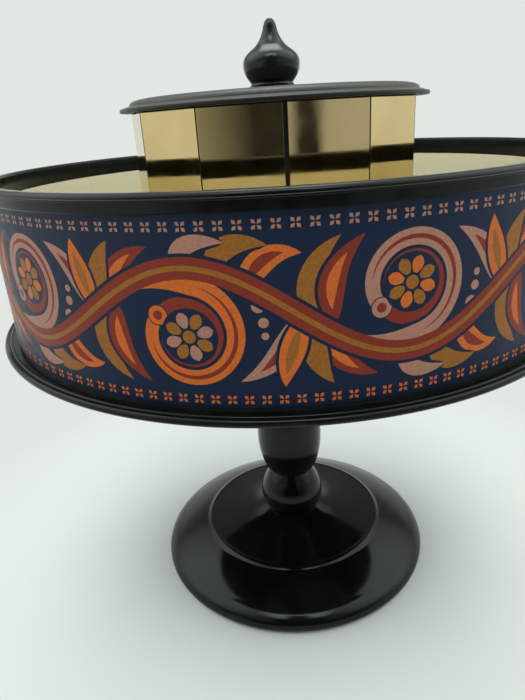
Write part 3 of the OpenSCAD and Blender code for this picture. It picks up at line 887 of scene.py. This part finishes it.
def screw_shape(node, head_up):
    """A socket screw on the axis, as tall as its solid."""
    low, top = low_of(node), top_of(node)
    head_r, head_h, dome_h, shank_r, edge, chamfer = 3.8, 2.4, 1.3, 2, 0.15, 0.4
    rim, shoulder = (key_r + chamfer, top), (head_r, top - dome_h)
    key_floor, seat = top - 1.4, top - head_h
    outline = [(0, key_floor), (key_r, key_floor), (key_r, top - edge), rim,
               *bow(rim, shoulder, (0.6, 0), (1, 0.6), 8),
               (head_r, seat + edge), (head_r - edge, seat), (shank_r, seat),
               (shank_r, low + chamfer), (shank_r - chamfer, low), (0, low)]
    if not head_up:
        outline = [(r, low + top - z) for r, z in outline]
    shape = turned(outline, closed=False, steps=48)
    for vert in shape.verts:
        if abs(vert.co.xy.length / MM - key_r) < 0.01:
            turn = math.atan2(vert.co.y, vert.co.x) % (math.pi / 3) - math.pi / 6
            vert.co.xy = vert.co.xy / math.cos(turn)
    return shape


def hub_screw_shape():
    shape = screw_shape("hub_screws", False)
    bmesh.ops.translate(shape, verts=shape.verts, vec=Vector((1, 1, 0)).normalized() * hub_ring * MM)
    repeated(shape, hub_screw_count)
    return shape


piece("spindle_screw", screw_shape("retaining_screw", True), [steel], "stand", ["retaining_screw"])
piece("hub_socket_screws", hub_screw_shape(), [steel], "rotor", ["hub_screws"])
piece("finial_socket_screw", screw_shape("finial_screw", False), [steel], "lid", ["finial_screw"])

# %% [markdown]
# The felt under the foot is pressed wool: a disc with soft edges and a nap that brightens at a glance. It
# is spun like the rest, and the relief and the sheen of its finish give the nap. It is a pad that the
# foot's weight presses flat.

# %% The felt
def felt_finish():
    made = new_finish("green_felt", Sheen_Weight=0.7, Sheen_Roughness=0.5, IOR=1.3)
    tint(made, grain(made, 0.8, 6), (0.008, 0.018, 0.012), (0.028, 0.05, 0.036))
    gloss(made, grain(made, 0.5), 0.85, 0.98)
    relief(made, grain(made, 0.35, 6), 0.25, 0.8)
    return made


def felt_outline():
    low, top, edge_r = low_of("felt_pad"), top_of("felt_pad"), reach("felt_pad")
    hole, edge = 8.9, 0.4
    inner, outer = hole + edge, edge_r - edge
    return [*arc((inner, low + edge), edge, 180, 270, 4), *arc((outer, low + edge), edge, -90, 0, 4),
            *arc((outer, top - edge), edge, 0, 90, 4), *arc((inner, top - edge), edge, 90, 180, 4)]


felt = piece("felt_disc", turned(felt_outline()), [felt_finish()], "stand", ["felt_pad"])

# %% [markdown]
# The stage: a pale floor that turns into the background further out, so that no horizon shows. It lies a
# hair below the felt, so that the two faces don't fight.

# %% The floor
PALE = (0.755, 0.8, 0.77)
floor_r, floor_drop, floor_fade = 6, 0.1 * MM, (0.08, 0.21)


def floor_finish():
    made = new_finish("pale_floor", Roughness=0.85)
    tint(made, grain(made, 60, 2), (0.588, 0.623, 0.597), (0.602, 0.637, 0.611))
    place = add(made, "ShaderNodeTexCoord")
    far = made.node_tree.nodes.new("ShaderNodeVectorMath")
    far.operation = "LENGTH"
    join(made, place.outputs["Object"], far.inputs[0])
    glow = add(made, "ShaderNodeEmission", Color=(*PALE, 1))
    blend = made.node_tree.nodes.new("ShaderNodeMixShader")
    join(made, graded(made, far.outputs["Value"], 0, 1, *floor_fade), blend.inputs["Fac"])
    join(made, shader_of(made).outputs["BSDF"], blend.inputs[1])
    join(made, glow.outputs["Emission"], blend.inputs[2])
    join(made, blend.outputs["Shader"], made.node_tree.nodes["Material Output"].inputs["Surface"])
    return made


def stage_piece(name, shape, finish):
    mesh = bpy.data.meshes.new(name)
    shape.to_mesh(mesh)
    shape.free()
    mesh.materials.append(finish)
    made = bpy.data.objects.new(name, mesh)
    bpy.context.scene.collection.objects.link(made)
    return made


ground = bmesh.new()
bmesh.ops.create_circle(ground, cap_ends=True, segments=96, radius=floor_r,
                        matrix=Matrix.Translation((0, 0, -floor_drop)))
stage_piece("pale_floor", ground, floor_finish())

# %% [markdown]
# On the viewer's side the studio is open and dark. Dark cards of several widths and heights stand there,
# as they are often put round shiny things. Only reflections see them, in the front mirrors and in the
# black gloss.

# %% The dark cards on the viewer's side
def card_black(name, left, right, height, density):
    """Black paper whose sides and top fade out: angles round the axis in degrees, heights in metres."""
    made = new_finish(name, Roughness=0.9)
    tint(made, grain(made, 40), (0.008, 0.007, 0.006), (0.02, 0.017, 0.014))
    place = add(made, "ShaderNodeTexCoord")
    parts = add(made, "ShaderNodeSeparateXYZ")
    join(made, place.outputs["Object"], parts.inputs["Vector"])
    turn = made.node_tree.nodes.new("ShaderNodeMath")
    turn.operation = "ARCTAN2"
    join(made, parts.outputs["Y"], turn.inputs[0])
    join(made, parts.outputs["X"], turn.inputs[1])
    edges = [graded(made, turn.outputs["Value"], 0, density, *map(math.radians, left)),
             graded(made, turn.outputs["Value"], 0, 1, *map(math.radians, right)),
             graded(made, parts.outputs["Z"], 0, 1, *height)]
    cover = edges[0]
    for edge in edges[1:]:
        both = made.node_tree.nodes.new("ShaderNodeMath")
        both.operation = "MULTIPLY"
        join(made, cover, both.inputs[0])
        join(made, edge, both.inputs[1])
        cover = both.outputs["Value"]
    join(made, cover, shader_of(made).inputs["Alpha"])
    return made


def dark_card(name, far, left, right, height, density=1):
    """A curved card on the floor, so far from the axis, which only reflections see."""
    shape = bmesh.new()
    start = math.radians(left[0])
    heel = Vector((far * math.cos(start), far * math.sin(start), 0))
    ends = [shape.verts.new(heel), shape.verts.new(heel + Vector((0, 0, height[0])))]
    edge = shape.edges.new(ends)
    bmesh.ops.spin(shape, geom=[*ends, edge], cent=(0, 0, 0), axis=(0, 0, 1),
                   angle=math.radians(right[0] - left[0]), steps=32)
    card = stage_piece(name, shape, card_black(name, left, right, height, density))
    card.visible_camera = False
    card.visible_diffuse = False
    card.visible_shadow = False


dark_card("low_card", 0.27, (-170, -130), (-10, -50), (0.12, 0.08), 0.6)
dark_card("wide_card", 1, (-131, -114), (-22, -82), (0.37, 0.35))
dark_card("narrow_card", 1, (-53.1, -52.1), (-49.4, -50.3), (0.37, 0.35))
dark_card("tall_card", 1, (-115, -107), (-65, -73), (1.25, 1))
dark_card("tallest_card", 1, (-106, -98), (-74, -82), (2.1, 1.8))

# %% [markdown]
# Light: black gloss shows whatever is round it, so the world is a plain small studio. Pale paper runs all
# round at table level, the space above it is dimmer, and broad lights hang on all four sides as in a
# light box. They fade out softly, which lamps with edges would not do. Together they light a surface so
# that its colour shows about as it is written. The camera itself sees plain paper all the way up.

# %% The studio
scene = bpy.context.scene
scene.view_settings.view_transform = "Standard"
upper_level, paper_edge = 0.5, (0.2, 0.36)
side_gain, side_spread = 2.1, (0.74, 0.96)
top_gain, top_spread = 6.8, (0.93, 1)
lights = (((-0.667, 0.05, 0.743), side_gain, side_spread), ((0.667, 0.05, 0.743), side_gain, side_spread),
          ((0, 0.42, 0.907), top_gain, top_spread), ((0, -0.42, 0.907), top_gain, top_spread))


def studio():
    made = bpy.data.worlds.new("studio")
    made.use_nodes = True
    place = add(made, "ShaderNodeTexCoord")
    parts = add(made, "ShaderNodeSeparateXYZ")
    join(made, place.outputs["Generated"], parts.inputs["Vector"])
    level = graded(made, parts.outputs["Z"], 1, upper_level, *paper_edge)
    for direction, gain, spread in lights:
        near = made.node_tree.nodes.new("ShaderNodeVectorMath")
        near.operation = "DOT_PRODUCT"
        near.inputs[1].default_value = direction
        join(made, place.outputs["Generated"], near.inputs[0])
        both = made.node_tree.nodes.new("ShaderNodeMath")
        join(made, level, both.inputs[0])
        join(made, graded(made, near.outputs["Value"], 0, gain, *spread), both.inputs[1])
        level = both.outputs["Value"]
    paper = made.node_tree.nodes.new("ShaderNodeMix")
    paper.inputs["B"].default_value = 1
    join(made, add(made, "ShaderNodeLightPath").outputs["Is Camera Ray"], paper.inputs["Factor"])
    join(made, level, paper.inputs["A"])
    shade = made.node_tree.nodes["Background"]
    shade.inputs["Color"].default_value = (*PALE, 1)
    join(made, paper.outputs["Result"], shade.inputs["Strength"])
    return made


scene.world = studio()
print("world:", scene.world.name, "with", len(lights), "soft lights")

# %% [markdown]
# The camera stands where the photograph was taken: close to the drum and just above its rim, with a wide
# lens, tipped down and turned a little. Yaw, pitch and roll came from lining up the rim, the prism and
# the foot.

# %% The camera
camera_place = Vector((0, -238.95, 202.78)) * MM
yaw, pitch, roll = -0.04328, 0.38853, -0.06471
focal_px, image_h, sensor = 565.484, 700, 36


def camera_axes():
    ahead = Vector((math.sin(yaw) * math.cos(pitch), math.cos(yaw) * math.cos(pitch), -math.sin(pitch)))
    right = ahead.cross(Vector((0, 0, 1))).normalized()
    up = right.cross(ahead)
    tilted_right = right * math.cos(roll) + up * math.sin(roll)
    tilted_up = up * math.cos(roll) - right * math.sin(roll)
    return Matrix((tilted_right, tilted_up, -ahead)).transposed().to_4x4()


lens = bpy.data.cameras.new("viewer")
lens.sensor_width = sensor
lens.lens = focal_px / image_h * sensor
lens.clip_start = 0.01
viewer = bpy.data.objects.new("viewer", lens)
viewer.matrix_world = Matrix.Translation(camera_place) @ camera_axes()
scene.collection.objects.link(viewer)
scene.camera = viewer
print("camera at", [round(c, 3) for c in viewer.matrix_world.translation], "lens", round(lens.lens, 2), "mm")

# %% [markdown]
# Last, the view layer is brought up to date.

# %% Finish
bpy.context.view_layer.update()
